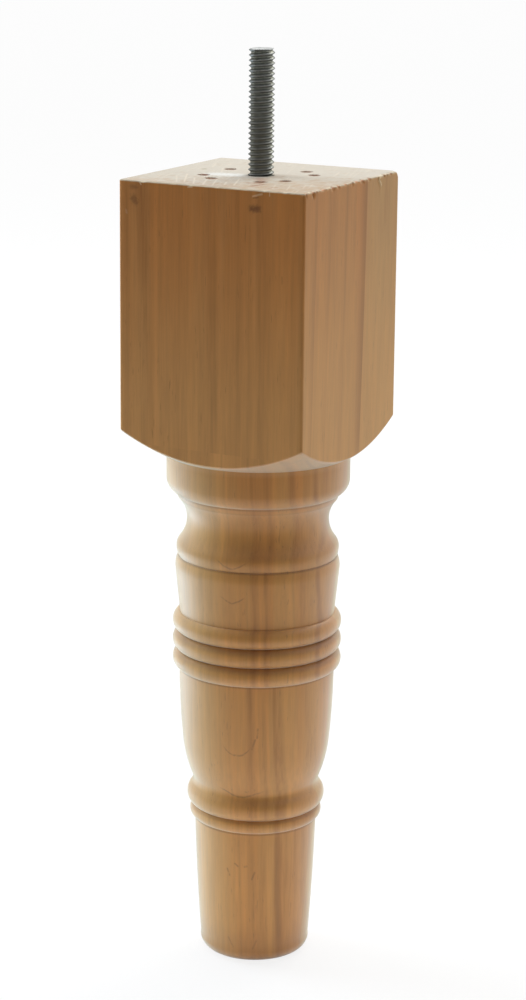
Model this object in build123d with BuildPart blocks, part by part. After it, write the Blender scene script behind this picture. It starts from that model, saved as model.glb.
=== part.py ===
"""Turned wooden furniture leg with a hanger bolt in its mounting face.

The leg is one piece of hardwood: a square blank, turned below its block into a collar, a cove,
a barrel, three beads, a vase, two more beads and a tapered foot. The hanger bolt stands in a pilot
hole in the middle of the sawn mounting face, inside a ring of marks left by the lathe's drive pins.

Frame: millimetres, +Z up, origin on the floor at the middle of the foot.
The turned profile is stacked from the floor up, and the square block takes the height that is left.
"""

import os

from build123d import *

os.makedirs("parts", exist_ok=True)

# Square blank
leg_height = 203.2  # floor to mounting face
block_side = 51.0
arris_radius = 0.6  # easing of the block's four long edges

# Foot
foot_length = 36.4
foot_floor_diameter = 27.5  # at the floor, before the edge is rounded
foot_top_diameter = 31.4
foot_bow = 0.25  # swell of the foot's side over its straight taper
foot_edge_radius = 3.2

# Pair of beads above the foot
small_bead_width = 3.6
small_bead_projection = 1.3  # beyond the foot's top
pair_groove_diameter = 32.4
large_bead_width = 6.0
large_bead_projection = 1.55  # beyond the groove under it

# Vase
vase_length = 31.0
vase_waist_diameter = 31.2
waist_blend_radius = 2.0  # sweep of the waist into the large bead
vase_turn_diameter = 37.7  # where the side turns in towards the waist
vase_turn_height = 11.4  # above the waist
vase_top_diameter = 39.7

# Three equal beads
bead_count = 3
bead_pitch = 4.95
bead_groove_diameter = 40.0
bead_projection = 1.6

# Barrel
barrel_length = 14.85
barrel_bottom_diameter = 39.5
belly_diameter = 41.9
belly_drop = 3.4  # below the barrel's top
barrel_top_diameter = 40.7

# Cove and its lower lip
lip_foot_diameter = 40.4
lip_crest_height = 2.2  # above the barrel's top
lip_crest_diameter = 41.4
throat_height = 9.6  # above the barrel's top
throat_diameter = 36.1
lip_share = 0.27  # of the sweep from crest to throat that is convex
cove_length = 15.1

# Collar under the block
fillet_height = 1.4
fillet_diameter = 40.7
collar_height = 10.0  # from the fillet to the shoulder
collar_diameter = 46.5
collar_round_height = 3.7

# Shoulder, turned across the block's corners
shoulder_rise = 8.0  # from the collar to the block's corners
shoulder_bow = 0.5  # swell of the shoulder over a plain cone

# Hanger bolt
thread_diameter = 6.3  # over the crests of the machine thread
stud_projection = 31.0  # above the mounting face
stud_chamfer = 0.6
shank_diameter = 5.5  # plain, between the two threads
shank_depth = 6.0
mouth_clearance = 0.1  # round the thread, where the bolt enters the wood
lag_core_diameter = 4.7
lag_length = 20.0
point_length = 6.0
point_flat_diameter = 0.6
pilot_margin = 2.0  # of the pilot hole, below the bolt's point

# Drive pin marks in the mounting face
pin_mark_count = 4  # in each of the two settings
pin_mark_circle_diameter = 26.4
pin_mark_diameter = 2.8
pin_mark_depth = 1.4
pin_settings = (30.0, 60.0)  # degrees from the block's face to the first mark

# Heights above the floor
small_bead_bottom = foot_length
large_bead_bottom = small_bead_bottom + small_bead_width
vase_bottom = large_bead_bottom + large_bead_width
beads_bottom = vase_bottom + vase_length
barrel_bottom = beads_bottom + bead_count * bead_pitch
barrel_top = barrel_bottom + barrel_length
cove_top = barrel_top + cove_length
collar_bottom = cove_top + fillet_height
collar_top = collar_bottom + collar_height

# The turning runs past the block's corners, so that the shoulder cuts all four
corner_radius = block_side / 2**0.5
turning_clearance = 1.5
turning_radius = corner_radius + turning_clearance


def at(diameter, height):
    """Point of the half profile, on the XZ plane."""
    return (diameter / 2, height)


# Points that two curves of the profile share
foot_top = at(foot_top_diameter, small_bead_bottom)
pair_groove = at(pair_groove_diameter, large_bead_bottom)
waist = at(vase_waist_diameter, vase_bottom)
vase_turn = at(vase_turn_diameter, vase_bottom + vase_turn_height)
vase_top = at(vase_top_diameter, beads_bottom)
belly = at(belly_diameter, barrel_top - belly_drop)
lip_foot = at(lip_foot_diameter, barrel_top)
lip_crest = Vector(*at(lip_crest_diameter, barrel_top + lip_crest_height))
throat = Vector(*at(throat_diameter, barrel_top + throat_height))
sweep_middle = lip_crest + (throat - lip_crest) * lip_share
collar_round_top = at(collar_diameter, collar_bottom + collar_round_height)
shoulder_start = at(collar_diameter, collar_top)
shoulder_run = turning_radius - collar_diameter / 2
shoulder_slope = shoulder_rise / (corner_radius - collar_diameter / 2)
shoulder_end = (turning_radius, collar_top + shoulder_slope * shoulder_run)

# Leg: the square blank, turned below the block
with BuildPart() as leg:
    with BuildSketch():
        RectangleRounded(block_side, block_side, arris_radius)
    extrude(amount=leg_height)

    with BuildSketch(Plane.XZ) as turning:
        with BuildLine():
            # Foot, from the floor up
            Line((0, 0), at(foot_floor_diameter, 0))
            SagittaArc(foot_top, at(foot_floor_diameter, 0), foot_bow)
            # Pair of beads
            small_bead_crest = (
                foot_top[0] + small_bead_projection,
                small_bead_bottom + small_bead_width / 2,
            )
            large_bead_crest = (
                pair_groove[0] + large_bead_projection,
                large_bead_bottom + large_bead_width / 2,
            )
            ThreePointArc(foot_top, small_bead_crest, pair_groove)
            ThreePointArc(pair_groove, large_bead_crest, waist)
            # Vase, turning in towards its waist
            vase_side = TangentArc(vase_top, vase_turn, tangent=(0, -1))
            TangentArc(vase_turn, waist, tangent=vase_side % 1)
            Line(vase_top, at(bead_groove_diameter, beads_bottom))
            # Three beads
            for bead in range(bead_count):
                bead_bottom = beads_bottom + bead * bead_pitch
                ThreePointArc(
                    at(bead_groove_diameter, bead_bottom),
                    at(bead_groove_diameter + 2 * bead_projection, bead_bottom + bead_pitch / 2),
                    at(bead_groove_diameter, bead_bottom + bead_pitch),
                )
            # Barrel, with its belly near the top
            Line(at(bead_groove_diameter, barrel_bottom), at(barrel_bottom_diameter, barrel_bottom))
            barrel_side = Line(at(barrel_bottom_diameter, barrel_bottom), belly)
            TangentArc(belly, at(barrel_top_diameter, barrel_top), tangent=barrel_side % 1)
            # Lip and cove
            Line(at(barrel_top_diameter, barrel_top), lip_foot)
            TangentArc(lip_crest, lip_foot, tangent=(0, -1))
            lip_sweep = TangentArc(lip_crest, sweep_middle, tangent=(0, 1))
            TangentArc(sweep_middle, throat, tangent=lip_sweep % 1)
            TangentArc(throat, at(fillet_diameter, cove_top), tangent=(0, 1))
            # Collar, rounded under
            Line(at(fillet_diameter, cove_top), at(fillet_diameter, collar_bottom))
            TangentArc(collar_round_top, at(fillet_diameter, collar_bottom), tangent=(0, -1))
            Line(collar_round_top, shoulder_start)
            # Shoulder, then clear of the block up to the mounting face
            SagittaArc(shoulder_end, shoulder_start, shoulder_bow)
            Polyline(shoulder_end, (turning_radius, leg_height), (0, leg_height), (0, 0))
        make_face()
        floor_corner = turning.vertices().sort_by_distance(at(foot_floor_diameter, 0))[0]
        fillet(floor_corner, foot_edge_radius)
        waist_corner = turning.vertices().sort_by_distance(waist)[0]
        fillet(waist_corner, waist_blend_radius)
    revolve(axis=Axis.Z, mode=Mode.INTERSECT)

    with Locations((0, 0, leg_height)):
        CounterBoreHole(
            radius=lag_core_diameter / 2,
            counter_bore_radius=thread_diameter / 2 + mouth_clearance,
            counter_bore_depth=shank_depth,
            depth=shank_depth + lag_length + point_length + pilot_margin,
        )
    with Locations((0, 0, leg_height)):
        for first_angle in pin_settings:
            with PolarLocations(pin_mark_circle_diameter / 2, pin_mark_count, start_angle=first_angle):
                Hole(radius=pin_mark_diameter / 2, depth=pin_mark_depth)

# Hanger bolt: machine thread above the shank, wood screw below it, both at plain diameters
with BuildPart() as bolt:
    with BuildSketch(Plane.XZ) as bolt_profile:
        with BuildLine():
            shank_bottom = leg_height - shank_depth
            lag_bottom = shank_bottom - lag_length
            point = lag_bottom - point_length
            Polyline(
                (0, point),
                at(point_flat_diameter, point),
                at(lag_core_diameter, lag_bottom),
                at(lag_core_diameter, shank_bottom),
                at(shank_diameter, shank_bottom),
                at(shank_diameter, leg_height),
                at(thread_diameter, leg_height),
                at(thread_diameter, leg_height + stud_projection),
                (0, leg_height + stud_projection),
                close=True,
            )
        make_face()
    revolve(axis=Axis.Z)
    chamfer(bolt.faces().sort_by(Axis.Z)[-1].edges(), stud_chamfer)

leg.part.label = "turned_leg"
bolt.part.label = "hanger_bolt"
export_step(leg.part, "parts/turned_leg.step")
export_step(bolt.part, "parts/hanger_bolt.step")
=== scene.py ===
import cmath
import math

import bmesh
import bpy
import numpy as np
from mathutils import Matrix, Vector, noise


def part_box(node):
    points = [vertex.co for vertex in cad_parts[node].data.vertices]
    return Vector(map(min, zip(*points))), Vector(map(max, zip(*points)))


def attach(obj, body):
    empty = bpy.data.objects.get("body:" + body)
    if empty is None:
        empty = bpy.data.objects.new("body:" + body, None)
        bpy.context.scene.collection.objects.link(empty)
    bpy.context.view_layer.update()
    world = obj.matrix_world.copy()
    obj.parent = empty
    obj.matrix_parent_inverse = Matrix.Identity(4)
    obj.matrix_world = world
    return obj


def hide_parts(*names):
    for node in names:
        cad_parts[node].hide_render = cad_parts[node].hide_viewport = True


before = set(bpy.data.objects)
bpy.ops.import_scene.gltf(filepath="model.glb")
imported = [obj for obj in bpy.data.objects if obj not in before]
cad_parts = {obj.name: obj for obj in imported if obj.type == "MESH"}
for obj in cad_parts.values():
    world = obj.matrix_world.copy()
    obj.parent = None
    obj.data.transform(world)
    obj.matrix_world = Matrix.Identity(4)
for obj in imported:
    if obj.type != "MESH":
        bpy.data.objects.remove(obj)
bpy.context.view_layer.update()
mm = 0.001
print("frame loaded:", ", ".join(sorted(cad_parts)))


# Curves of the half profile: complex numbers, radius + height * 1j, in millimetres
def lineTo(start, end, steps=40):
    return start + (end - start) * np.linspace(0, 1, steps + 1)


def arcFrom(start, heading, end, steps=80):
    # leaves start along heading and lands on end
    chord = end - start
    turn = cmath.phase(chord / heading)
    share = np.linspace(0, 1, steps + 1)
    reach = abs(chord) * np.sin(share * turn) / math.sin(turn)
    return start + reach * heading / abs(heading) * np.exp(1j * share * turn)


def headingAfter(start, heading, end):
    chord = (end - start) / abs(end - start)
    return chord * chord * (heading / abs(heading)).conjugate()


def arcThrough(start, crest, end):
    return arcFrom(start, (crest - start) * (end - start) / (end - crest), end)


def bowedTo(start, end, bow):
    # swells to the outside by bow, seen going up
    chord = end - start
    return arcFrom(start, chord * cmath.exp(-2j * math.atan(2 * bow / abs(chord))), end)


def joinPath(*curves):
    path = np.concatenate(curves)
    keep = np.concatenate(([True], np.abs(np.diff(path)) > 1e-6))
    return path[keep]


def roundCorner(path, corner, radius, steps=10):
    # swaps the corner nearest the given point for an arc that touches both sides
    middle = int(np.argmin(np.abs(path - corner)))
    heading = np.diff(path) / np.abs(np.diff(path))
    left = cmath.phase(heading[middle] / heading[middle - 1]) > 0
    normal = heading * (1j if left else -1j)
    before = path[:middle] + radius * normal[:middle]
    after = path[middle + 1:-1] + radius * normal[middle + 1:]
    gap = np.abs(before[:, None] - after[None, :])
    i, j = np.unravel_index(np.argmin(gap), gap.shape)
    centre = (before[i] + after[j]) / 2
    first, last = path[i] - centre, path[middle + 1 + j] - centre
    sweep = cmath.phase(last / first)
    arc = centre + first * np.exp(1j * sweep * np.linspace(0, 1, steps + 1))
    return np.concatenate((path[:i], arc, path[middle + 2 + j:]))


def thinPath(path, tolerance, longest):
    # keeps the points that the shape needs, and a point at least every longest millimetres
    if len(path) < 3:
        return list(path[:1])
    chord = path[-1] - path[0]
    offset = np.abs(((path - path[0]) * chord.conjugate()).imag) / max(abs(chord), 1e-9)
    worst = int(np.argmax(offset))
    if offset[worst] < tolerance:
        if abs(chord) <= longest:
            return [path[0]]
        worst = len(path) // 2
    return thinPath(path[:worst + 1], tolerance, longest) + thinPath(path[worst:], tolerance, longest)


# Turned leg, in millimetres
leg = {
    "arris": 0.6, "edge": 0.22,
    "footLength": 36.4, "footFloor": 27.5, "footTop": 31.4, "footBow": 0.25, "footEdge": 3.2,
    "smallBead": 3.6, "smallBeadOut": 1.3, "pairGroove": 32.4, "largeBead": 6.0, "largeBeadOut": 1.55,
    "vaseLength": 31.0, "waist": 31.2, "waistBlend": 2.0,
    "vaseTurn": 37.7, "vaseTurnUp": 11.4, "vaseTop": 39.7,
    "beads": 3, "beadPitch": 4.95, "beadGroove": 40.0, "beadOut": 1.6,
    "barrelLength": 14.85, "barrelBottom": 39.5, "belly": 41.9, "bellyDrop": 3.4, "barrelTop": 40.7,
    "lipFoot": 40.4, "lipUp": 2.2, "lip": 41.4, "throatUp": 9.6, "throat": 36.1, "lipShare": 0.27,
    "coveLength": 15.1, "fillet": 40.5, "filletUp": 1.4, "filletLean": 0.5,
    "collar": 46.5, "collarUp": 10.0, "collarRound": 3.7,
    "shoulderRise": 8.0, "shoulderBow": 0.5, "turnedPast": 1.5, "shoulderPaintedLight": 0.24,
    "bore": 6.5, "boreEdge": 0.15, "boreDepth": 6.0, "pilot": 4.7, "pilotDepth": 34.0,
    # painted shade: a dark band above the floor and at each groove: how far below it, half width, strength
    "paintedGrooveShades": ((0.0, 8.0, 0.75), (0.25, 0.3, 1.0), (0.35, 0.5, 0.8), (1.2, 1.5, 0.35), (0.2, 0.3, 1.0),
                 (0.55, 0.8, 0.8), (0.55, 0.9, 0.9), (0.4, 0.5, 0.15), (0.1, 0.3, 0.9), (-2.2, 2.6, 0.25),
                 (0.1, 0.25, 0.35), (0.25, 0.3, 0.9)),
    # mesh: how far it may leave the curves, longest step, columns, and rows as shares of each stretch
    "tolerance": 0.012, "longest": 1.8, "sideColumns": 54, "tornColumns": 140, "cornerColumns": 6,
    "shoulderRows": (0, 0.03, 0.2, 0.4, 0.6, 0.8, 0.94), "blockRows": (0.015, 0.06, 0.2, 0.4, 0.6, 0.8, 0.95),
    "faceRows": (0.02, 0.06, 0.14, 0.28, 0.46, 0.66, 0.85), "innerRows": 8, "sharpAngle": 28.0,
}


def at(diameter, height):
    return complex(diameter / 2, height)


def turnedPath(s):
    # foot to collar, from the floor up
    footTop = at(s["footTop"], s["footLength"])
    pairGroove = at(s["pairGroove"], footTop.imag + s["smallBead"])
    waist = at(s["waist"], pairGroove.imag + s["largeBead"])
    vaseTurn = at(s["vaseTurn"], waist.imag + s["vaseTurnUp"])
    vaseTop = at(s["vaseTop"], waist.imag + s["vaseLength"])
    smallCrest = complex(footTop.real + s["smallBeadOut"], footTop.imag + s["smallBead"] / 2)
    largeCrest = complex(pairGroove.real + s["largeBeadOut"], pairGroove.imag + s["largeBead"] / 2)
    floorEdge = at(s["footFloor"], 0)
    vaseHeading = headingAfter(vaseTop, -1j, vaseTurn)
    curves = [
        lineTo(at(8, 0), floorEdge),
        bowedTo(floorEdge, footTop, s["footBow"]),
        arcThrough(footTop, smallCrest, pairGroove),
        arcThrough(pairGroove, largeCrest, waist),
        arcFrom(vaseTurn, vaseHeading, waist)[::-1],
        arcFrom(vaseTop, -1j, vaseTurn)[::-1],
    ]
    base = vaseTop.imag
    for i in range(s["beads"]):
        low = at(s["beadGroove"], base + i * s["beadPitch"])
        crest = complex(low.real + s["beadOut"], low.imag + s["beadPitch"] / 2)
        curves.append(arcThrough(low, crest, low + 1j * s["beadPitch"]))
    barrel = at(s["barrelBottom"], base + s["beads"] * s["beadPitch"])
    barrelTop = at(s["barrelTop"], barrel.imag + s["barrelLength"])
    belly = at(s["belly"], barrelTop.imag - s["bellyDrop"])
    lipFoot = at(s["lipFoot"], barrelTop.imag)
    lip = at(s["lip"], barrelTop.imag + s["lipUp"])
    throat = at(s["throat"], barrelTop.imag + s["throatUp"])
    sweepMiddle = lip + (throat - lip) * s["lipShare"]
    fillet = at(s["fillet"], barrelTop.imag + s["coveLength"])
    filletTop = fillet + complex(s["filletLean"], s["filletUp"])
    collarRound = at(s["collar"], filletTop.imag + s["collarRound"])
    collarTop = at(s["collar"], filletTop.imag + s["collarUp"])
    curves += [
        lineTo(barrel, belly),
        arcFrom(belly, belly - barrel, barrelTop),
        arcFrom(lip, -1j, lipFoot)[::-1],
        arcFrom(lip, 1j, sweepMiddle),
        arcFrom(sweepMiddle, headingAfter(lip, 1j, sweepMiddle), throat),
        arcFrom(throat, 1j, fillet),
        lineTo(fillet, filletTop),
        arcFrom(collarRound, -1j, filletTop)[::-1],
        lineTo(collarRound, collarTop),
    ]
    path = joinPath(*curves)
    path = roundCorner(path, waist, s["waistBlend"])
    path = roundCorner(path, floorEdge, s["footEdge"])
    return path, collarTop


def shadedGrooveHeights(s):
    # from the floor up: floor, top of the foot, pair, waist, beads, lip, cove, collar
    pair = s["footLength"] + s["smallBead"]
    waist = pair + s["largeBead"]
    beads = waist + s["vaseLength"]
    barrel = beads + s["beads"] * s["beadPitch"]
    lip = barrel + s["barrelLength"]
    grooves = [beads + i * s["beadPitch"] for i in range(s["beads"] + 1)]
    cove = lip + s["coveLength"]
    return [0, s["footLength"], pair, waist] + grooves + [lip, lip + s["lipUp"], cove, cove + s["filletUp"]]


def blockColumns(half, s):
    # rounded square outline, anticlockwise from the corner at +X -Y, finer along the torn +X side
    flat = half - s["arris"]
    outline = []
    for side in range(4):
        count = s["tornColumns"] if side == 0 else s["sideColumns"]
        turned = cmath.exp(0.5j * math.pi * side)
        along = np.linspace(-flat, flat, count + 1)
        corner = np.linspace(0, math.pi / 2, s["cornerColumns"] + 1)[1:-1]
        outline += list((half + 1j * along) * turned)
        outline += list((complex(flat, flat) + s["arris"] * np.exp(1j * corner)) * turned)
    return np.array(outline)


# Wear on the sawn end, in millimetres on the mounting face and its edges
sawnEnd = {
    "pinCircle": 26.4, "pinMark": 2.8, "pinDepth": 1.4, "pinRim": 0.3, "pinRagged": 0.22, "depthRagged": 0.25,
    "pinAngles": (30, 60, 120, 150, 210, 240, 300, 330), "fineReach": 1.9, "fineStep": 0.2,
    # how far each mark sits off the circle, towards 28 degrees
    "pinShifts": (0.0, 0.2, 0.0, -0.65, -0.85, -0.95, -0.5, -0.9), "shiftAngle": 28.0,
    # y along the torn +X edge, width, height, depth
    "notches": (
        (-24.6, 0.7, 1.3, 0.25), (-20.9, 1.5, 1.8, 0.45), (-19.3, 0.6, 0.8, 0.3), (-15.8, 2.8, 0.5, 0.3),
        (-10.6, 1.7, 1.0, 0.5), (-7.8, 1.2, 0.8, 0.35), (-4.1, 1.4, 0.35, 0.2), (-0.3, 0.9, 1.0, 0.45),
        (1.9, 1.8, 0.4, 0.25), (5.0, 2.0, 1.0, 0.4), (9.1, 1.5, 0.8, 0.45), (17.4, 0.9, 0.9, 0.35),
        (18.9, 0.5, 0.6, 0.25), (20.9, 1.1, 0.7, 0.35),
    ),
    "edgeBand": 0.7, "slant": 0.55, "notchDrop": 0.45, "frayReach": 0.7,
    "tearReach": 3.4, "tearRows": (3.0, 2.6, 2.25, 1.9, 1.6, 1.3, 1.05, 0.8, 0.6, 0.4),
    # splinter curling down the +X face: y, z below the mounting face
    "splinter": ((15.6, -0.2), (14.0, -0.4), (14.1, -1.2), (15.1, -2.3)),
    "splinterWidth": 0.45, "splinterOut": 0.28,
    # x along the -Y edge, width, height
    "chips": ((-18.9, 2.2, 0.35), (-5.6, 1.2, 0.3), (2.2, 0.8, 0.25), (14.4, 1.4, 0.3), (20.2, 1.0, 0.25)),
    "chipDrop": 0.5, "chipIn": 0.35, "roundedCorner": 1.9, "cornerPush": (0.28, 0.28, 0.8),
}


def ragged(x, y, z, size):
    return noise.noise(Vector((x / size, y / size, z / size)))


def awayFromPath(spot, path):
    # spot and path are complex numbers
    nearest = 1e9
    for start, end in zip(path[:-1], path[1:]):
        run = end - start
        share = min(1, max(0, ((spot - start) * run.conjugate()).real / abs(run) ** 2))
        nearest = min(nearest, abs(spot - start - share * run))
    return nearest


def tubeFaces(rowCount, columnCount):
    # quads between the rows of a grid, then a fan to a middle point at each end
    index = np.arange(rowCount * columnCount).reshape(rowCount, columnCount)
    following = np.roll(index, -1, axis=1)
    faces = np.stack([index[:-1], following[:-1], following[1:], index[1:]], -1).reshape(-1, 4).tolist()
    firstMiddle, lastMiddle = index.size, index.size + 1
    faces += [[firstMiddle, b, a] for a, b in zip(index[0], following[0])]
    faces += [[lastMiddle, a, b] for a, b in zip(index[-1], following[-1])]
    return faces


def buildLeg(s, w):
    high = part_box("turned_leg")[1]
    half = high.x / mm
    top = high.z / mm
    path, collarTop = turnedPath(s)
    columns = blockColumns(half, s)
    reach = np.abs(columns)
    ray = columns / reach

    rows = []

    def ring(radius, height):
        spot = ray * radius
        rows.append(np.stack([spot.real, spot.imag, np.zeros(len(ray)) + height], 1))

    for point in thinPath(path, s["tolerance"], s["longest"]):
        ring(point.real, point.imag)

    # shoulder, out to where it meets the square
    corner = half * math.sqrt(2)
    slope = s["shoulderRise"] / (corner - collarTop.real)
    far = corner + s["turnedPast"]
    shoulderEnd = complex(far, collarTop.imag + slope * (far - collarTop.real))
    shoulder = bowedTo(collarTop, shoulderEnd, s["shoulderBow"])

    def shoulderHeight(radius):
        return np.interp(radius, shoulder.real, shoulder.imag)

    inner = collarTop.real
    shoulderStart = len(rows)
    for share in s["shoulderRows"]:
        radius = inner + (reach - s["edge"] - inner) * share
        ring(radius, shoulderHeight(radius))
    ring(reach - s["edge"], shoulderHeight(reach - s["edge"]))
    crease = shoulderHeight(reach) + s["edge"]
    blockStart = len(rows)
    ring(reach, crease)

    # block
    tearTop = top - w["tearReach"]
    for share in s["blockRows"]:
        ring(reach, crease + (tearTop - crease) * share)
    for drop in w["tearRows"]:
        ring(reach, top - drop)
    ring(reach, top - s["edge"])
    topEdge = len(rows)
    ring(reach - s["edge"], top)

    # mounting face, from the square to rings round the pin marks and on to the bore
    pinCircle, pinRadius = w["pinCircle"] / 2, w["pinMark"] / 2
    fineOut, fineIn = pinCircle + pinRadius * w["fineReach"], pinCircle - pinRadius * w["fineReach"]
    for share in s["faceRows"]:
        ring(reach - s["edge"] + (fineOut - reach + s["edge"]) * share, top)
    for radius in np.arange(fineOut, fineIn, -w["fineStep"]):
        ring(radius, top)
    bore = s["bore"] / 2
    for radius in np.linspace(fineIn, bore + 0.5, s["innerRows"]):
        ring(radius, top)
    ring(bore + s["boreEdge"], top)
    ring(bore, top - s["boreEdge"])
    ring(bore, top - s["boreDepth"])
    ring(s["pilot"] / 2, top - s["boreDepth"])
    ring(s["pilot"] / 2, top - s["pilotDepth"])

    points = np.array(rows)
    torn = np.zeros(points.shape[:2])
    pale = np.zeros(points.shape[:2])
    pale[shoulderStart:blockStart] = s["shoulderPaintedLight"]  # painted light from below on the shoulder, which faces down; it is also cut nearly across the grain
    wearSawnEnd(points, torn, pale, half, top, topEdge, w)

    # the last two points close the floor and the pilot hole
    rowCount, columnCount = points.shape[:2]
    grid = points.reshape(-1, 3).tolist() + [[0, 0, 0], [0, 0, top - s["pilotDepth"]]]
    mesh = bpy.data.meshes.new("turnedLegSkin")
    mesh.from_pydata((np.array(grid) * mm).tolist(), [], tubeFaces(rowCount, columnCount))
    # slots: turned side, planed block, sawn ends
    finish = np.zeros((rowCount - 1, columnCount), np.int32)
    finish[blockStart:] = 1
    finish[topEdge - 1:] = 2
    footRows = int(np.sum(points[:, 0, 2] < 1e-4)) - 1
    finish[:footRows] = 2
    finish = np.append(finish.ravel(), np.full(2 * columnCount, 2, np.int32))
    mesh.polygons.foreach_set("material_index", finish)
    for name, values in (("torn", torn), ("pale", pale)):
        layer = mesh.attributes.new(name, "FLOAT", "POINT")
        layer.data.foreach_set("value", np.append(values.ravel(), [0, 0]).astype(np.float32))
    mesh.shade_smooth()
    mesh.set_sharp_from_angle(angle=math.radians(s["sharpAngle"]))
    piece = bpy.data.objects.new("turned_leg_wood", mesh)
    bpy.context.scene.collection.objects.link(piece)
    return piece


def wearSawnEnd(points, torn, pale, half, top, topEdge, w):
    # pin marks, torn notches, chips and one knocked corner, by moving the grid's own points
    aside = cmath.rect(1, math.radians(w["shiftAngle"]))
    pins = [cmath.rect(w["pinCircle"] / 2, math.radians(angle)) + shift * aside
            for angle, shift in zip(w["pinAngles"], w["pinShifts"])]
    splinter = [complex(y, top + drop) for y, drop in w["splinter"]]
    band = half - w["edgeBand"]
    for i, j in np.ndindex(points.shape[:2]):
        x, y, z = points[i, j]
        if i > topEdge and z > top - 0.1:  # on the face, not in the bore
            for pin in pins:
                away = complex(x, y) - pin
                if abs(away) < w["pinMark"]:
                    rim = w["pinMark"] / 2 * (1 + w["pinRagged"] * ragged(x, y, pin.real, 0.9))
                    inside = min(1, max(0, (rim - abs(away)) / w["pinRim"] + 0.5))
                    points[i, j, 2] -= inside * w["pinDepth"] * (1 + w["depthRagged"] * ragged(x, y, 7, 0.7))
                    torn[i, j] = max(torn[i, j], inside)
        if x > band and z > top - w["tearReach"]:
            for spot, width, height, depth in w["notches"]:
                lean = w["slant"] * ragged(spot, 3, 2, 1.7) * (top - z)
                across = abs(y - spot - lean + 0.25 * ragged(z, spot, 1, 0.8)) / (width / 2)
                down = (top - z) / height * (1 + 0.5 * ragged(y, spot, 5, 0.5))
                share = max(0, 1 - across ** 2) * max(0, 1 - down ** 2)
                points[i, j, 0] -= depth * share
                if i >= topEdge - 1:
                    points[i, j, 2] -= w["notchDrop"] * depth * share
                torn[i, j] = max(torn[i, j], min(1, 1.6 * share) * (0.4 if i >= topEdge else 1))
            fray = max(0, 1 - (top - z) / w["frayReach"])
            pale[i, j] = max(pale[i, j], fray * (0.55 + 0.9 * ragged(y, z, 9, 0.8)))
            lift = max(0, 1 - (awayFromPath(complex(y, z), splinter) / w["splinterWidth"]) ** 2)
            points[i, j, 0] += w["splinterOut"] * lift
            pale[i, j] = max(pale[i, j], lift)
            torn[i, j] *= 1 - lift
        if y < -band and topEdge - 1 <= i <= topEdge:
            pale[i, j] = max(pale[i, j], 0.75 + 0.6 * ragged(x, 4, 1, 1.1))
        if y < -band and z > top - w["tearReach"]:
            for spot, width, height in w["chips"]:
                share = max(0, 1 - (abs(x - spot) / (width / 2)) ** 2)
                if top - z < height:
                    points[i, j, 2] -= w["chipDrop"] * height * share
                    points[i, j, 1] += w["chipIn"] * height * share
                    pale[i, j] = max(pale[i, j], share)
        knock = math.hypot(half - x, half - y, top - z)
        if knock < w["roundedCorner"]:
            share = (1 - knock / w["roundedCorner"]) ** 2
            points[i, j] -= np.array(w["cornerPush"]) * share


# Hanger bolt, in millimetres: machine thread above, wood screw below
bolt = {
    "thread": 6.42, "root": 5.25, "pitch": 1.27, "crestShare": 0.08, "rootShare": 0.2,
    "stickOut": 31.0, "chamfer": 0.25,
    "shank": 5.5, "shankDepth": 6.0, "runOut": 0.7,
    "lagCore": 4.7, "lagCrest": 6.1, "lagPitch": 2.5, "lagCrestShare": 0.06, "lagRootShare": 0.55,
    "lagLength": 20.0, "lagRunOut": 1.5, "pointLength": 6.0, "pointFlat": 0.6,
    "columns": 64, "threadRows": 16, "lagRows": 14,
}


def threadShare(phase, crestShare, rootShare):
    # 0 in the root, 1 on the crest, straight flanks between
    away = abs(phase - 0.5) * 2
    return min(1, max(0, (1 - rootShare - away) / (1 - rootShare - crestShare)))


def buildBolt(s):
    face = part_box("turned_leg")[1].z / mm
    tip = face + s["stickOut"]
    shankEnd = face - s["shankDepth"]
    lagEnd = shankEnd - s["lagLength"]
    point = lagEnd - s["pointLength"]

    def radiusAt(z, around):
        # around is the share of a turn
        if z < shankEnd:
            taper = min(1, (z - point) / s["pointLength"])
            core = (s["pointFlat"] + (s["lagCore"] - s["pointFlat"]) * taper) / 2
            turn = (z - point) / s["lagPitch"] - around
            ridge = threadShare(turn % 1, s["lagCrestShare"], s["lagRootShare"])
            ridge *= min(taper, (shankEnd - z) / s["lagRunOut"])
            return core + ridge * (s["lagCrest"] - s["lagCore"]) / 2
        share = threadShare(((z - face) / s["pitch"] - around) % 1, s["crestShare"], s["rootShare"])
        threaded = s["root"] / 2 + (s["thread"] - s["root"]) / 2 * share
        blend = min(1, max(0, (z - face + s["runOut"]) / s["runOut"]))
        radius = s["shank"] / 2 + (threaded - s["shank"] / 2) * blend
        return min(radius, s["thread"] / 2 - s["chamfer"] + (tip - z))

    threadFoot = face - s["runOut"]
    heights = list(np.arange(point, shankEnd, s["lagPitch"] / s["lagRows"]))
    heights += list(np.linspace(shankEnd, threadFoot, 4))
    heights += list(np.arange(threadFoot, tip - s["chamfer"], s["pitch"] / s["threadRows"])[1:])
    heights += [tip - s["chamfer"], tip]
    turns = np.arange(s["columns"]) / s["columns"]
    grid = []
    for z in heights:
        for around in turns:
            spot = cmath.rect(radiusAt(z, around), 2 * math.pi * around)
            grid.append((spot.real * mm, spot.imag * mm, z * mm))
    grid += [(0, 0, point * mm), (0, 0, tip * mm)]
    mesh = bpy.data.meshes.new("hangerBoltSkin")
    mesh.from_pydata(grid, [], tubeFaces(len(heights), s["columns"]))
    mesh.shade_smooth()
    for end in mesh.polygons[-2 * s["columns"]:]:  # both ends are cut flat
        end.use_smooth = False
    piece = bpy.data.objects.new("hanger_bolt_steel", mesh)
    bpy.context.scene.collection.objects.link(piece)
    return piece


# Shader helpers: a socket is wired, a number or a colour is set
def put(tree, socket, value):
    if isinstance(value, bpy.types.NodeSocket):
        tree.links.new(value, socket)
    else:
        socket.default_value = value


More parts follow.
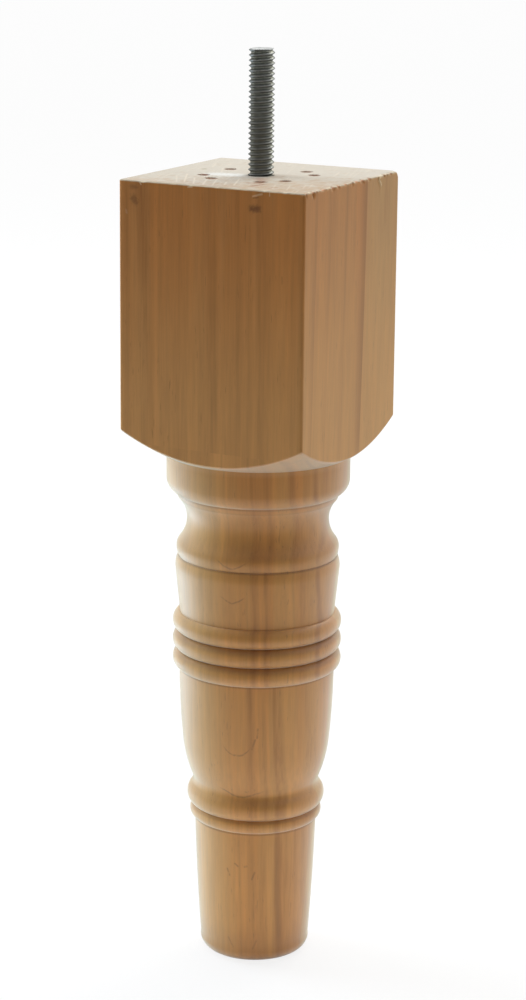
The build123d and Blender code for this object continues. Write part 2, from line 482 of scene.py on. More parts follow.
def calc(tree, operation, a, b=0.0, c=0.0, clamp=False):
    node = tree.nodes.new("ShaderNodeMath")
    node.operation = operation
    node.use_clamp = clamp
    for socket, value in zip(node.inputs, (a, b, c)):
        put(tree, socket, value)
    return node.outputs[0]


def vectorCalc(tree, operation, a, b):
    node = tree.nodes.new("ShaderNodeVectorMath")
    node.operation = operation
    put(tree, node.inputs[0], a)
    put(tree, node.inputs["Scale"] if operation == "SCALE" else node.inputs[1], b)
    plain = operation in ("DOT_PRODUCT", "LENGTH", "DISTANCE")
    return node.outputs["Value" if plain else "Vector"]


def fade(tree, value, low, high, toLow=0.0, toHigh=1.0):
    node = tree.nodes.new("ShaderNodeMapRange")
    node.interpolation_type = "SMOOTHSTEP"
    labels = ("Value", "From Min", "From Max", "To Min", "To Max")
    for label, number in zip(labels, (value, low, high, toLow, toHigh)):
        put(tree, node.inputs[label], number)
    return node.outputs["Result"]


def mixColour(tree, factor, a, b, blend="MIX"):
    node = tree.nodes.new("ShaderNodeMix")
    node.data_type = "RGBA"
    node.blend_type = blend
    for socket, value in zip((node.inputs[0], node.inputs[6], node.inputs[7]), (factor, a, b)):
        put(tree, socket, value)
    return node.outputs[2]


def layOver(tree, colour, mask, share, over):
    # over covers the colour by share where the mask is full
    return mixColour(tree, calc(tree, "MULTIPLY", mask, share, clamp=True), colour, over)


def noiseAt(tree, point, stretch, detail=2.0, roughness=0.5):
    # stretch is the size of a speck along x, y and z, in the units of point
    node = tree.nodes.new("ShaderNodeTexNoise")
    put(tree, node.inputs["Vector"], vectorCalc(tree, "DIVIDE", point, stretch))
    node.inputs["Scale"].default_value = 1.0
    node.inputs["Detail"].default_value = detail
    node.inputs["Roughness"].default_value = roughness
    return node.outputs["Fac"]


def srgb(red, green, blue):
    def straight(value):
        value /= 255
        return value / 12.92 if value <= 0.04045 else ((value + 0.055) / 1.055) ** 2.4
    return (straight(red), straight(green), straight(blue), 1.0)


def newGroup(name, inputs, outputs):
    group = bpy.data.node_groups.new(name, "ShaderNodeTree")
    for label, kind in inputs:
        group.interface.new_socket(label, in_out="INPUT", socket_type="NodeSocket" + kind)
    for label, kind in outputs:
        group.interface.new_socket(label, in_out="OUTPUT", socket_type="NodeSocket" + kind)
    return group, group.nodes.new("NodeGroupInput").outputs, group.nodes.new("NodeGroupOutput").inputs


def placeGroup(tree, group, **values):
    node = tree.nodes.new("ShaderNodeGroup")
    node.node_tree = group
    for label, value in values.items():
        put(tree, node.inputs[label], value)
    return node.outputs


def newMaterial(name):
    material = bpy.data.materials.new(name)
    material.use_nodes = True
    tree = material.node_tree
    tree.nodes.clear()
    shader = tree.nodes.new("ShaderNodeBsdfPrincipled")
    out = tree.nodes.new("ShaderNodeOutputMaterial")
    tree.links.new(shader.outputs["BSDF"], out.inputs["Surface"])
    return material, tree, shader.inputs


def addBump(tree, shader, height, strength, depth):
    # depth in millimetres
    bump = tree.nodes.new("ShaderNodeBump")
    bump.inputs["Strength"].default_value = strength
    bump.inputs["Distance"].default_value = depth * mm
    put(tree, bump.inputs["Height"], height)
    put(tree, shader["Normal"], bump.outputs["Normal"])


def pointInMillimetres(tree):
    place = tree.nodes.new("ShaderNodeTexCoord")
    return vectorCalc(tree, "SCALE", place.outputs["Object"], 1000.0)


def segmentAway(tree, point, start, end):
    # distance from a straight mark between two points
    start, end = Vector(start), Vector(end)
    run = end - start
    offset = vectorCalc(tree, "SUBTRACT", point, tuple(start))
    share = vectorCalc(tree, "DOT_PRODUCT", offset, tuple(run / run.length_squared))
    share = calc(tree, "MULTIPLY", share, 1.0, clamp=True)
    return vectorCalc(tree, "DISTANCE", offset, vectorCalc(tree, "SCALE", tuple(run), share))


def readLayer(tree, name):
    node = tree.nodes.new("ShaderNodeAttribute")
    node.attribute_name = name
    return node.outputs["Fac"]


# Growth rings round a pith in front of the leg, in millimetres towards the pith
rings = {
    "pithAngle": -74.0, "pithAway": 190.0, "lean": 0.033, "leanFrom": 203.2, "sway": 0.9, "waver": 0.35,
    # outer edge of a ring, reach of its dark wood, strength
    "edges": ((-2.4, 4.6, 1.0), (8.0, 3.0, 0.3), (16.6, 2.5, 0.2), (23.9, 2.5, 0.4)),
    "edgeFade": (-0.25, 0.05), "heartFade": (-0.5, 0.3), "clearOf": (7.0, 16.0), "clearBelow": (128.0, 142.0),
    # arcs where the turning just cuts a ring: place along the rings, height, half width,
    # rise of the ends, power of the bend
    "arcs": ((-1.9, 98.8, 3.2, 1.6, 1.4), (-2.0, 107.6, 4.3, 2.2, 1.5), (-0.9, 58.3, 3.6, 2.6, 2.4),
             (-0.2, 46.5, 6.0, 2.0, 1.7)),
    # broken pieces of such arcs: place and height of both ends
    "strokes": (((-1.9, 27.9), (-1.1, 27.2)), ((0.6, 27.3), (1.2, 27.4)), ((-4.0, 26.2), (-3.4, 24.4)),
                ((3.2, 25.8), (2.5, 23.8)), ((-3.9, 6.9), (-2.6, 4.3)), ((3.6, 6.6), (2.6, 4.2)),
                ((3.9, 63.0), (3.1, 60.5)), ((4.6, 66.0), (4.4, 63.5))),
    "arcWaver": 1.2, "arcEnds": (1.1, 0.7), "lineWidth": 0.4, "lineDepth": (5.0, 9.0),
}


def growthRings(s):
    outputs = [("Late", "Float"), ("Line", "Float"), ("Heart", "Float"), ("Board", "Vector")]
    group, inside, out = newGroup("growthRings", [("Point", "Vector")], outputs)
    point = inside["Point"]
    angle = math.radians(s["pithAngle"])
    ahead = Vector((math.cos(angle), math.sin(angle), 0))
    flat = vectorCalc(group, "MULTIPLY", point, (1, 1, 0))
    height = vectorCalc(group, "DOT_PRODUCT", point, (0, 0, 1))
    fromPith = vectorCalc(group, "DISTANCE", flat, tuple(ahead * s["pithAway"]))
    depth = calc(group, "SUBTRACT", s["pithAway"], fromPith)
    lean = calc(group, "MULTIPLY", calc(group, "SUBTRACT", height, s["leanFrom"]), s["lean"])
    depth = calc(group, "ADD", depth, lean)
    sway = calc(group, "SUBTRACT", noiseAt(group, point, (30, 30, 70)), 0.5)
    depth = calc(group, "MULTIPLY_ADD", sway, s["sway"], depth)
    waver = calc(group, "SUBTRACT", noiseAt(group, point, (3, 3, 16)), 0.5)
    depth = calc(group, "MULTIPLY_ADD", waver, s["waver"], depth)

    # along the rings, through the rings, up the trunk
    along = vectorCalc(group, "DOT_PRODUCT", point, (-ahead.y, ahead.x, 0))
    board = group.nodes.new("ShaderNodeCombineXYZ")
    put(group, board.inputs["X"], along)
    put(group, board.inputs["Y"], depth)
    put(group, board.inputs["Z"], height)
    put(group, out["Board"], board.outputs["Vector"])

    # a ring darkens away from the pith and ends sharply
    late = 0.0
    for edge, reach, strength in s["edges"]:
        dark = fade(group, depth, edge + reach, edge, 0.0, strength)
        ended = fade(group, depth, *(edge + step for step in s["edgeFade"]))
        dark = calc(group, "MULTIPLY", dark, ended)
        late = calc(group, "MAXIMUM", dark, late)
    # the block's sides show it, the front and the turned part stay clear
    late = calc(group, "MULTIPLY", late, fade(group, calc(group, "ABSOLUTE", along), *s["clearOf"]))
    put(group, out["Late"], calc(group, "MULTIPLY", late, fade(group, height, *s["clearBelow"])))
    heartEdge = s["edges"][0][0]
    put(group, out["Heart"], fade(group, depth, *(heartEdge + step for step in s["heartFade"])))

    line = 0.0
    for place, low, half, rise, power in s["arcs"]:
        share = calc(group, "ABSOLUTE", calc(group, "DIVIDE", calc(group, "SUBTRACT", along, place), half))
        bend = calc(group, "MULTIPLY_ADD", calc(group, "POWER", share, power), rise, low)
        bend = calc(group, "MULTIPLY_ADD", waver, s["arcWaver"], bend)
        away = calc(group, "ABSOLUTE", calc(group, "SUBTRACT", height, bend))
        stroke = fade(group, away, s["lineWidth"], 0.0)
        stroke = calc(group, "MULTIPLY", stroke, fade(group, share, *s["arcEnds"]))
        line = calc(group, "MAXIMUM", stroke, line)
    onFace = vectorCalc(group, "MULTIPLY", board.outputs["Vector"], (1, 0, 1))
    for start, end in s["strokes"]:
        away = segmentAway(group, onFace, (start[0], 0, start[1]), (end[0], 0, end[1]))
        line = calc(group, "MAXIMUM", fade(group, away, s["lineWidth"], 0.0), line)
    # broken up, and only on the side towards the pith
    broken = fade(group, noiseAt(group, point, (0.8, 0.8, 0.8), 3.0), 0.3, 0.6, 0.35, 1.0)
    line = calc(group, "MULTIPLY", line, broken)
    put(group, out["Line"], calc(group, "MULTIPLY", line, fade(group, depth, *s["lineDepth"])))
    return group


# Fibre streaks, by their place along the rings: place, half width, lighter or darker
fibres = {
    # heights of a zone, then its streaks
    "zones": (
        (138, 210, ((-29.5, 2.5, -0.06), (-25.0, 2.0, -0.09), (-22.0, 1.3, 0.09), (-11.5, 3.2, 0.05),
                    (-6.5, 1.7, -0.10), (-4.2, 0.9, 0.05), (0.0, 1.1, -0.05), (4.2, 1.2, 0.06),
                    (5.8, 0.9, -0.06), (12.0, 5.5, 0.08))),
        (-1, 138, ((-16.5, 3.5, -0.07), (-4.0, 6.5, 0.12), (11.0, 3.0, 0.06))),
        (107, 138, ((-8.0, 1.0, -0.12), (-6.0, 0.6, 0.08), (-4.4, 0.5, -0.09), (2.4, 0.6, -0.07),
                    (6.1, 0.7, -0.07), (7.9, 0.8, 0.06), (11.8, 1.5, -0.16), (13.8, 0.8, 0.08),
                    (16.9, 0.9, -0.12))),
        (77, 107, ((-11.6, 0.9, -0.06), (1.1, 0.6, 0.08), (2.4, 0.7, -0.10), (4.0, 0.6, 0.08),
                   (5.3, 0.8, -0.16), (10.9, 0.6, 0.05), (11.6, 0.4, -0.08), (16.8, 0.8, -0.14))),
        (40, 77, ((-6.7, 0.7, -0.07), (-4.2, 0.6, -0.07), (1.0, 1.2, -0.09), (2.8, 0.7, 0.12),
                  (4.5, 0.7, -0.08), (5.6, 0.6, 0.12), (7.1, 0.8, -0.16), (8.2, 1.0, -0.09),
                  (9.8, 0.7, 0.09))),
        # painted shade: the broad darker bands at place 12 on the foot and at place 7 on the large bead below
        # darken the lower turned part on the side away from the leftBack lamp
        (-1, 40, ((-3.4, 0.6, 0.06), (-2.5, 0.5, -0.10), (-1.0, 0.8, 0.05), (0.6, 0.8, -0.07),
                  (4.7, 0.9, 0.09), (6.8, 1.3, -0.22), (12.0, 6.5, -0.10))),
        (40, 46.4, ((7.0, 9.0, -0.08),)),
    ),
    "drift": 0.0105, "driftFrom": 203.2, "wander": 0.6, "streak": 0.2, "thread": 0.22, "fine": 0.24,
}


def fibreStreaks(s):
    outputs = [("Broad", "Float"), ("Level", "Float"), ("Fine", "Float"), ("Pore", "Float")]
    group, inside, out = newGroup("fibreStreaks", [("Board", "Vector")], outputs)
    board = inside["Board"]
    sway = calc(group, "SUBTRACT", noiseAt(group, board, (12, 30, 60)), 0.5)
    place = vectorCalc(group, "DOT_PRODUCT", board, (1, 0, s["drift"]))
    place = calc(group, "SUBTRACT", place, s["drift"] * s["driftFrom"])
    place = calc(group, "MULTIPLY_ADD", sway, s["wander"], place)

    height = vectorCalc(group, "DOT_PRODUCT", board, (0, 0, 1))
    marked = 0.0
    for low, high, streaks in s["zones"]:
        total = 0.0
        for spot, reach, amount in streaks:
            away = calc(group, "ABSOLUTE", calc(group, "SUBTRACT", place, spot))
            total = calc(group, "ADD", fade(group, away, reach, reach * 0.1, 0.0, amount), total)
        above, below = calc(group, "GREATER_THAN", height, low), calc(group, "LESS_THAN", height, high)
        marked = calc(group, "MULTIPLY_ADD", total, calc(group, "MULTIPLY", above, below), marked)
    patchy = fade(group, noiseAt(group, board, (4, 40, 26)), 0.35, 0.6, 0.6, 1.2)
    level = calc(group, "MULTIPLY_ADD", marked, patchy, 1.0)
    for stretch, amount in (((2.6, 26, 110), "streak"), ((1.0, 6, 34), "thread"), ((0.5, 1.0, 13), "fine")):
        grain = noiseAt(group, board, stretch, 2.0, 0.55)
        level = calc(group, "MULTIPLY_ADD", calc(group, "SUBTRACT", grain, 0.5), s[amount], level)
    put(group, out["Level"], level)
    put(group, out["Fine"], grain)
    put(group, out["Broad"], noiseAt(group, board, (5, 40, 120), 2.0))
    pore = noiseAt(group, board, (0.42, 0.5, 4.5), 1.0)
    patch = fade(group, noiseAt(group, board, (5, 5, 26)), 0.42, 0.62)
    put(group, out["Pore"], calc(group, "MULTIPLY", fade(group, pore, 0.64, 0.76), patch))
    return group


def grooveShade(s):
    # painted shade: dark bands in and under the turned grooves and just above the floor, by height
    group, inside, out = newGroup("grooveShade", [("Point", "Vector")], [("Shade", "Float")])
    height = vectorCalc(group, "DOT_PRODUCT", inside["Point"], (0, 0, 1))
    shade = 0.0
    for groove, (drop, width, strength) in zip(shadedGrooveHeights(s), s["paintedGrooveShades"]):
        away = calc(group, "ABSOLUTE", calc(group, "SUBTRACT", height, groove - drop))
        shade = calc(group, "MAXIMUM", fade(group, away, 1.6 * width, 0.0, 0.0, strength), shade)
    put(group, out["Shade"], shade)
    return group


def addMarks(tree, point, colour, marks, colours):
    # marks: start, end, half width, colour name, strength; their edges are ragged
    ragged = calc(tree, "SUBTRACT", noiseAt(tree, point, (0.7, 0.7, 0.7), 3.0), 0.5)
    for start, end, reach, name, strength in marks:
        away = calc(tree, "MULTIPLY_ADD", ragged, 1.2 * reach, segmentAway(tree, point, start, end))
        colour = mixColour(tree, fade(tree, away, reach, 0.0, 0.0, strength), colour, colours[name])
    return colour


# Sanded long grain
sideWood = {
    "late": srgb(142, 82, 34), "line": srgb(120, 64, 22), "pore": srgb(124, 74, 38),
    "pale": srgb(244, 214, 168), "torn": srgb(150, 94, 44), "grooveShadeColour": srgb(118, 62, 20),
    "smudgeAndShadow": srgb(104, 58, 28), "heart": (0.1, 0.9), "broad": 0.4, "uneven": 0.12, "bump": (0.25, 0.05),
    # how far each of them covers the wood
    "shares": {"late": 0.5, "line": 0.45, "pore": 0.3, "pale": 0.7, "torn": 0.6, "grooveShadeColour": 0.4},
    # on the -Y face, from x and z below the mounting face: start, end, half width, colour, strength
    "frontMarks": (
        (-21.4, -4.3, -20.8, -5.0, 1.5, "smudgeAndShadow", 0.5), (11.4, -4.5, 13.0, -4.4, 1.4, "smudgeAndShadow", 0.7),
        (-22.0, -1.5, -20.6, -1.6, 1.0, "smudgeAndShadow", 0.35), (11.6, -1.5, 14.0, -0.8, 0.4, "pale", 0.5),
        # the smudge mark from x 11.7 to 13.0 is a painted shadow under the pale chip above it
        (11.7, -1.9, 13.0, -1.7, 0.3, "smudgeAndShadow", 0.5), (16.1, -0.1, 16.1, -1.1, 0.2, "pale", 0.5),
        (-6.2, -0.6, -5.0, -0.5, 0.22, "pale", 0.7), (-19.6, -0.3, -19.2, -0.9, 0.22, "pale", 0.6),
        (-23.4, -7.3, -23.3, -8.1, 0.45, "pale", 0.15),
    ),
}
# the lathe has burnished the turned part, the block is only planed; both carry painted light, paler and
# brighter lower down where light from the floor falls, and the turned part is painted paler on the side
# towards the leftBack lamp
turnedFinish = {
    "pink": srgb(203, 136, 61), "straw": srgb(205, 156, 85), "red": srgb(197, 126, 50),
    "roughness": 0.44, "shine": 0.65, "sheen": 1.0, "sheenRoughness": 0.45, "sheenTint": srgb(246, 255, 248),
    "paleFrom": 110.0, "paleTo": 25.0, "lightest": 1.09, "darkest": 1.03, "paler": 0.1, "paintedLampSide": 0.9,
}
planedFinish = {
    "pink": srgb(210, 134, 64), "straw": srgb(206, 151, 90), "red": srgb(200, 124, 57),
    "roughness": 0.72, "shine": 0.3, "sheen": 0.5, "sheenRoughness": 0.45, "sheenTint": srgb(250, 255, 228),
    "paleFrom": 205.0, "paleTo": 142.0, "lightest": 1.06, "darkest": 0.90, "paler": 0.8, "paintedLampSide": 0.0,
}


def makeSideWood(name, s, finish, ringGroup, fibreGroup, grooveGroup):
    material, tree, shader = newMaterial(name)
    point = pointInMillimetres(tree)
    ring = placeGroup(tree, ringGroup, Point=point)
    fibre = placeGroup(tree, fibreGroup, Board=ring["Board"])

    outside, inside = s["heart"]
    heart = calc(tree, "MULTIPLY_ADD", ring["Heart"], inside - outside, outside)
    broad = fade(tree, fibre["Broad"], 0.3, 0.7, 0.5, -0.5)
    hue = calc(tree, "MULTIPLY_ADD", broad, s["broad"], heart, True)
    colour = mixColour(tree, hue, finish["straw"], finish["pink"])
    # darker fibres are redder
    red = fade(tree, fibre["Level"], 1.0, 0.8, 0.0, 0.8)
    colour = mixColour(tree, red, colour, finish["red"])
    along = vectorCalc(tree, "DOT_PRODUCT", ring["Board"], (1, 0, 0))
    # painted light: the turned part turns paler straw on the side towards the leftBack lamp
    colour = mixColour(tree, fade(tree, along, 2.0, -12.0, 0.0, finish["paintedLampSide"]), colour, finish["straw"])
    # painted light: paler and brighter lower down, where light from the floor falls
    height = vectorCalc(tree, "DOT_PRODUCT", point, (0, 0, 1))
    ends = (finish["paleFrom"], finish["paleTo"])
    colour = mixColour(tree, fade(tree, height, *ends, 0.0, finish["paler"]), colour, finish["straw"])
    paintedLightByHeight = fade(tree, height, *ends, finish["darkest"], finish["lightest"])
    shade = tree.nodes.new("ShaderNodeHueSaturation")
    put(tree, shade.inputs["Color"], colour)
    put(tree, shade.inputs["Value"], calc(tree, "MULTIPLY", fibre["Level"], paintedLightByHeight))
    colour = shade.outputs["Color"]
    for part, mask in (("late", ring["Late"]), ("line", ring["Line"]), ("pore", fibre["Pore"])):
        colour = layOver(tree, colour, mask, s["shares"][part], s[part])

    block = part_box("turned_leg")[1] / mm
    marks = [((x, -block.y, block.z + z), (toX, -block.y, block.z + toZ), *rest)
             for x, z, toX, toZ, *rest in s["frontMarks"]]
    colour = addMarks(tree, point, colour, marks, s)
    # painted shade in and under the grooves and above the floor
    groove = placeGroup(tree, grooveGroup, Point=point)
    # the pale layer holds frayed, chipped and splintered fibres, and painted light on the shoulder
    pale, torn = readLayer(tree, "pale"), readLayer(tree, "torn")
    for part, mask in (("pale", pale), ("torn", torn), ("grooveShadeColour", groove["Shade"])):
        colour = layOver(tree, colour, mask, s["shares"][part], s[part])
    put(tree, shader["Base Color"], colour)

    grain = calc(tree, "SUBTRACT", fibre["Fine"], 0.5)
    put(tree, shader["Roughness"], calc(tree, "MULTIPLY_ADD", grain, s["uneven"], finish["roughness"]))
    shader["Specular IOR Level"].default_value = finish["shine"]
    shader["Sheen Weight"].default_value = finish["sheen"]
    shader["Sheen Roughness"].default_value = finish["sheenRoughness"]
    shader["Sheen Tint"].default_value = finish["sheenTint"]
    addBump(tree, shader, calc(tree, "SUBTRACT", fibre["Fine"], fibre["Pore"]), *s["bump"])
    return material


# Sawn end grain
endWood = {
    "base": srgb(197, 187, 172), "brown": srgb(184, 157, 128), "ray": srgb(216, 203, 184),
    "torn": srgb(212, 130, 80), "pale": srgb(238, 220, 188), "smear": srgb(226, 224, 218),
    "crack": srgb(150, 86, 54), "speck": srgb(130, 112, 40), "roughness": 0.72, "bump": (0.5, 0.1),
    "paleShare": 0.9, "tornShare": 1.0, "frontFrom": -8.0, "frontTo": 30.0, "browner": (-0.14, 0.24),
    # on the mounting face: start, end, half width, colour, strength
    "marks": (
        (-9.7, -21.1, -16.6, -7.6, 0.4, "ray", 0.7), (-6.1, -22.9, -11.1, -13.5, 0.4, "ray", 0.7),
        (-3.3, -23.3, -6.9, -15.1, 0.4, "ray", 0.7), (-0.8, -23.1, -5.3, -12.7, 0.4, "ray", 0.7),
        (1.1, -20.5, -0.8, -16.1, 0.42, "ray", 0.8), (3.8, -20.8, -1.2, -8.7, 0.4, "ray", 0.8),
        (-17.8, 7.2, -20.5, 13.9, 0.4, "ray", 0.5), (-11.3, -22.1, -16.6, -12.7, 0.36, "ray", 0.5),
        (-10.9, -0.4, -14.3, 6.4, 0.4, "ray", 0.5), (14.5, -21.0, 12.0, -15.0, 0.4, "ray", 0.5),
        (18.5, -21.5, 15.5, -14.0, 0.36, "ray", 0.4), (20.5, -17.0, 18.0, -10.5, 0.36, "ray", 0.4),
        (-10.0, -4.4, -6.0, -3.4, 5.0, "smear", 0.9), (8.0, -19.4, 9.1, -15.4, 1.0, "crack", 0.8),
        (4.7, -15.2, 7.3, -14.2, 0.9, "crack", 0.7), (2.9, -6.4, 5.0, -9.4, 2.6, "crack", 0.45),
        (13.1, -20.8, 13.9, -18.2, 0.8, "crack", 0.4), (-17.8, 2.6, -17.4, 3.0, 0.8, "speck", 0.9),
    ),
}


def makeEndWood(s, ringGroup):
    material, tree, shader = newMaterial("sawnEndGrain")
    point = pointInMillimetres(tree)
    ring = placeGroup(tree, ringGroup, Point=point)
    # browner towards the front, where the saw has left the grain more open
    front = vectorCalc(tree, "DOT_PRODUCT", point, (0.47, -0.88, 0))
    front = fade(tree, front, s["frontFrom"], s["frontTo"], *s["browner"])
    mottle = calc(tree, "ADD", noiseAt(tree, point, (2.4, 2.4, 2.4), 4.0, 0.6), front)
    colour = mixColour(tree, fade(tree, mottle, 0.35, 0.90), s["base"], s["brown"])
    # faint rays run through the rings everywhere, a few stand out
    faint = fade(tree, noiseAt(tree, ring["Board"], (0.6, 12, 12), 2.0), 0.52, 0.78, 0.0, 0.45)
    colour = mixColour(tree, faint, colour, s["ray"])
    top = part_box("turned_leg")[1].z / mm
    marks = [((x, y, top), (toX, toY, top), *rest) for x, y, toX, toY, *rest in s["marks"]]
    colour = addMarks(tree, point, colour, marks, s)
    for layer in ("pale", "torn"):
        colour = layOver(tree, colour, readLayer(tree, layer), s[layer + "Share"], s[layer])
    put(tree, shader["Base Color"], colour)
    shader["Roughness"].default_value = s["roughness"]
    addBump(tree, shader, noiseAt(tree, point, (0.8, 0.8, 0.8), 3.0), *s["bump"])
    return material


# Zinc plate on steel, dull in the roots of the thread
zincSteel = {
    "bright": srgb(148, 150, 148), "dull": srgb(142, 143, 133), "bareCutAndHighlight": srgb(224, 226, 225),
    "rim": srgb(150, 152, 152), "rootRadius": 2.62, "crestRadius": 3.1, "blotchy": 0.9,
    "cutDepth": (0.3, 0.1), "roughness": (0.34, 0.48), "bump": (0.12, 0.03),
}


def makeZincSteel(s):
    material, tree, shader = newMaterial("zincSteel")
    point = pointInMillimetres(tree)
    blotch = noiseAt(tree, point, (1.4, 1.4, 0.7), 4.0, 0.6)
    radius = vectorCalc(tree, "LENGTH", vectorCalc(tree, "MULTIPLY", point, (1, 1, 0)), (0, 0, 0))
    rubbed = fade(tree, radius, s["rootRadius"], s["crestRadius"])
    rubbed = calc(tree, "MULTIPLY_ADD", calc(tree, "SUBTRACT", blotch, 0.5), s["blotchy"], rubbed, True)
    colour = mixColour(tree, rubbed, s["dull"], s["bright"])
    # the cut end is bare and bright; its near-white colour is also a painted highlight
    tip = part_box("hanger_bolt")[1].z / mm
    height = vectorCalc(tree, "DOT_PRODUCT", point, (0, 0, 1))
    end = fade(tree, height, *(tip - drop for drop in s["cutDepth"]))
    put(tree, shader["Base Color"], mixColour(tree, end, colour, s["bareCutAndHighlight"]))
    shader["Metallic"].default_value = 1.0
    shader["Specular Tint"].default_value = s["rim"]
    put(tree, shader["Roughness"], fade(tree, blotch, 0.3, 0.7, *s["roughness"]))
    addBump(tree, shader, noiseAt(tree, point, (0.5, 0.5, 0.08), 2.0), *s["bump"])
    return material


# Floor, dark side of the room behind the camera, and soft light
studio = {
    "worldLight": 0.88, "floorRadius": 4.0, "floorDrop": 0.02 * mm, "floorWhite": 0.95, "floorDark": 0.12,
    "shadowShare": 0.17,
    "whiteMiddle": 0.44, "whiteReach": 0.60, "whiteFade": 0.10,
    "wallRadius": 0.6, "wallHeight": 1.3, "wallFrom": -160.0, "wallTo": 10.0, "wallTop": 0.55,
    "wallColumns": 25, "wallGrey": 0.28,
}


def lightPathMask(tree):
    # what the camera, mirrors and glass see
    path = tree.nodes.new("ShaderNodeLightPath")
    seen = calc(tree, "MAXIMUM", path.outputs["Is Camera Ray"], path.outputs["Is Glossy Ray"])
    return calc(tree, "MAXIMUM", seen, path.outputs["Is Transmission Ray"])


def buildStudio(s, viewAngle):
    world = bpy.data.worlds.new("whiteRoom")
    bpy.context.scene.world = world
    world.use_nodes = True
    sky = world.node_tree.nodes["Background"]
    sky.inputs["Color"].default_value = (1, 1, 1, 1)
    level = fade(world.node_tree, lightPathMask(world.node_tree), 0.0, 1.0, s["worldLight"], 1.0)
    put(world.node_tree, sky.inputs["Strength"], level)

    shape = bmesh.new()
    bmesh.ops.create_circle(shape, cap_ends=True, segments=96, radius=s["floorRadius"])
    floorMesh = bpy.data.meshes.new("paleFloor")
    shape.to_mesh(floorMesh)
    shape.free()
    floor = bpy.data.objects.new("paleFloor", floorMesh)
    floor.location.z = -s["floorDrop"]
    material = bpy.data.materials.new("paleFloor")
    material.use_nodes = True
    tree = material.node_tree
    tree.nodes.clear()
    place = tree.nodes.new("ShaderNodeTexCoord")
    behind = cmath.rect(s["whiteMiddle"], math.radians(viewAngle + 180))
    away = vectorCalc(tree, "DISTANCE", place.outputs["Object"], (behind.real, behind.imag, 0))
    rim = s["whiteReach"] + s["whiteFade"]
    grey = fade(tree, away, s["whiteReach"], rim, s["floorWhite"], s["floorDark"])
    seen = lightPathMask(tree)
    matte = tree.nodes.new("ShaderNodeBsdfDiffuse")
    put(tree, matte.inputs["Color"], calc(tree, "MAXIMUM", grey, seen))
    glow = tree.nodes.new("ShaderNodeEmission")
    mix = tree.nodes.new("ShaderNodeMixShader")
    put(tree, mix.inputs[0], calc(tree, "MULTIPLY", seen, 1 - s["shadowShare"]))
    put(tree, mix.inputs[1], matte.outputs[0])
    put(tree, mix.inputs[2], glow.outputs[0])
    out = tree.nodes.new("ShaderNodeOutputMaterial")
    put(tree, out.inputs["Surface"], mix.outputs[0])
    floorMesh.materials.append(material)

    # dark wall, a part of a cylinder that the camera looks out of
    spread = np.radians(np.linspace(s["wallFrom"], s["wallTo"], s["wallColumns"]))
    feet = [(s["wallRadius"] * math.cos(a), s["wallRadius"] * math.sin(a), 0) for a in spread]
    heads = [(x * s["wallTop"], y * s["wallTop"], s["wallHeight"]) for x, y, z in feet]
    wallMesh = bpy.data.meshes.new("darkWall")
    count = len(feet)
    wallMesh.from_pydata(feet + heads, [], [(i, i + 1, count + i + 1, count + i) for i in range(count - 1)])
    wall = bpy.data.objects.new("darkWall", wallMesh)
    wall.visible_camera = False
    card = bpy.data.materials.new("darkWall")
    card.use_nodes = True
    paint = card.node_tree.nodes["Principled BSDF"].inputs
    paint["Base Color"].default_value = (s["wallGrey"],) * 3 + (1,)
    paint["Roughness"].default_value = 1.0
    wallMesh.materials.append(card)
    for thing in (floor, wall):
        bpy.context.scene.collection.objects.link(thing)


# Lamps round the leg, in degrees, metres and watts
lamps = {
    "leftBack": {"angle": 182.0, "height": 0.50, "away": 0.8, "width": 0.6, "power": 5.7,
                 "colour": (0.85, 1.01, 1.16), "mirrored": False},
    "overhead": {"angle": 118.0, "height": 0.95, "away": 0.40, "width": 0.7, "power": 2.0},
    "rightBack": {"angle": 80.0, "height": 0.80, "away": 0.65, "width": 0.5, "power": 2.4,
                  "colour": (1.0, 0.98, 0.88)},
    "leftTable": {"angle": 178.0, "height": 0.004, "away": 0.30, "width": 0.26, "power": 0.4,
                  "colour": (0.75, 1.0, 1.25), "faceUp": True},
}


def addLamp(name, s):
    light = bpy.data.lights.new(name, "AREA")
    light.shape = "DISK"
    light.size = s["width"]
    light.energy = s["power"]
    light.color = s.get("colour", (1, 1, 1))
    lamp = bpy.data.objects.new(name, light)
    angle = math.radians(s["angle"])
    lamp.location = (s["away"] * math.cos(angle), s["away"] * math.sin(angle), s["height"])
    aim = Vector((0, 0, 0.12)) - lamp.location  # near the middle of the leg
    lamp.rotation_euler = aim.to_track_quat("-Z", "Y").to_euler()
    if "faceUp" in s:
        lamp.rotation_euler = (math.pi, 0, 0)
    lamp.visible_camera = False
    lamp.visible_glossy = s.get("mirrored", True)
    bpy.context.scene.collection.objects.link(lamp)


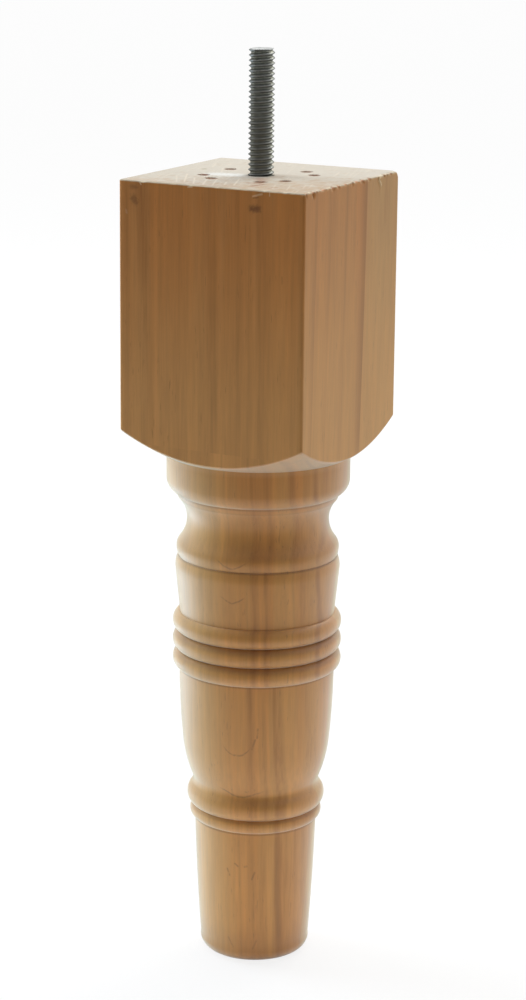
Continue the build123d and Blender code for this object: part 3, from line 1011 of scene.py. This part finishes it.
# Camera, fitted to the block's corners and the turned grooves, in millimetres and degrees;
# focal and longSide are in pixels of the photograph
cameraAt = {
    "away": 680.22, "height": 290.55, "azimuth": 28.299, "pitch": 14.029, "yaw": 0.1047, "roll": 0.5277,
    "focal": 2761.8, "longSide": 1000.0, "sensor": 36.0,
}


def buildCamera(s):
    azimuth, pitch, yaw, roll = (math.radians(s[k]) for k in ("azimuth", "pitch", "yaw", "roll"))
    ahead = Vector((math.sin(yaw) * math.cos(pitch), math.cos(yaw) * math.cos(pitch), -math.sin(pitch)))
    level = Vector((math.cos(yaw), -math.sin(yaw), 0))
    upright = level.cross(ahead)
    right = level * math.cos(roll) + upright * math.sin(roll)
    up = upright * math.cos(roll) - level * math.sin(roll)
    turn = Matrix.Rotation(azimuth, 3, "Z")
    axes = Matrix([turn @ right, turn @ up, turn @ -ahead]).transposed()
    data = bpy.data.cameras.new("photoCamera")
    data.sensor_width = s["sensor"]
    data.lens = s["focal"] * s["sensor"] / s["longSide"]
    data.clip_start = 0.01
    data.clip_end = 20.0
    camera = bpy.data.objects.new("photoCamera", data)
    place = turn @ Vector((0, -s["away"], 0)) + Vector((0, 0, s["height"]))
    camera.matrix_world = Matrix.Translation(place * mm) @ axes.to_4x4()
    bpy.context.scene.collection.objects.link(camera)
    bpy.context.scene.camera = camera


ringGroup = growthRings(rings)
fibreGroup = fibreStreaks(fibres)
grooveGroup = grooveShade(leg)
legPiece = buildLeg(leg, sawnEnd)
for woodName, finish in (("turnedWood", turnedFinish), ("planedWood", planedFinish)):
    wood = makeSideWood(woodName, sideWood, finish, ringGroup, fibreGroup, grooveGroup)
    legPiece.data.materials.append(wood)
legPiece.data.materials.append(makeEndWood(endWood, ringGroup))
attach(legPiece, "root")
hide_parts("turned_leg")
print("leg:", len(legPiece.data.polygons), "faces")

boltPiece = buildBolt(bolt)
boltPiece.data.materials.append(makeZincSteel(zincSteel))
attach(boltPiece, "root")
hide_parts("hanger_bolt")
print("bolt:", len(boltPiece.data.polygons), "faces")

buildCamera(cameraAt)
buildStudio(studio, cameraAt["azimuth"] - 90)
for lampName, lampValues in lamps.items():
    addLamp(lampName, lampValues)
bpy.context.scene.view_settings.view_transform = "Standard"
print("studio: camera, floor, wall and", len(lamps), "lamps")
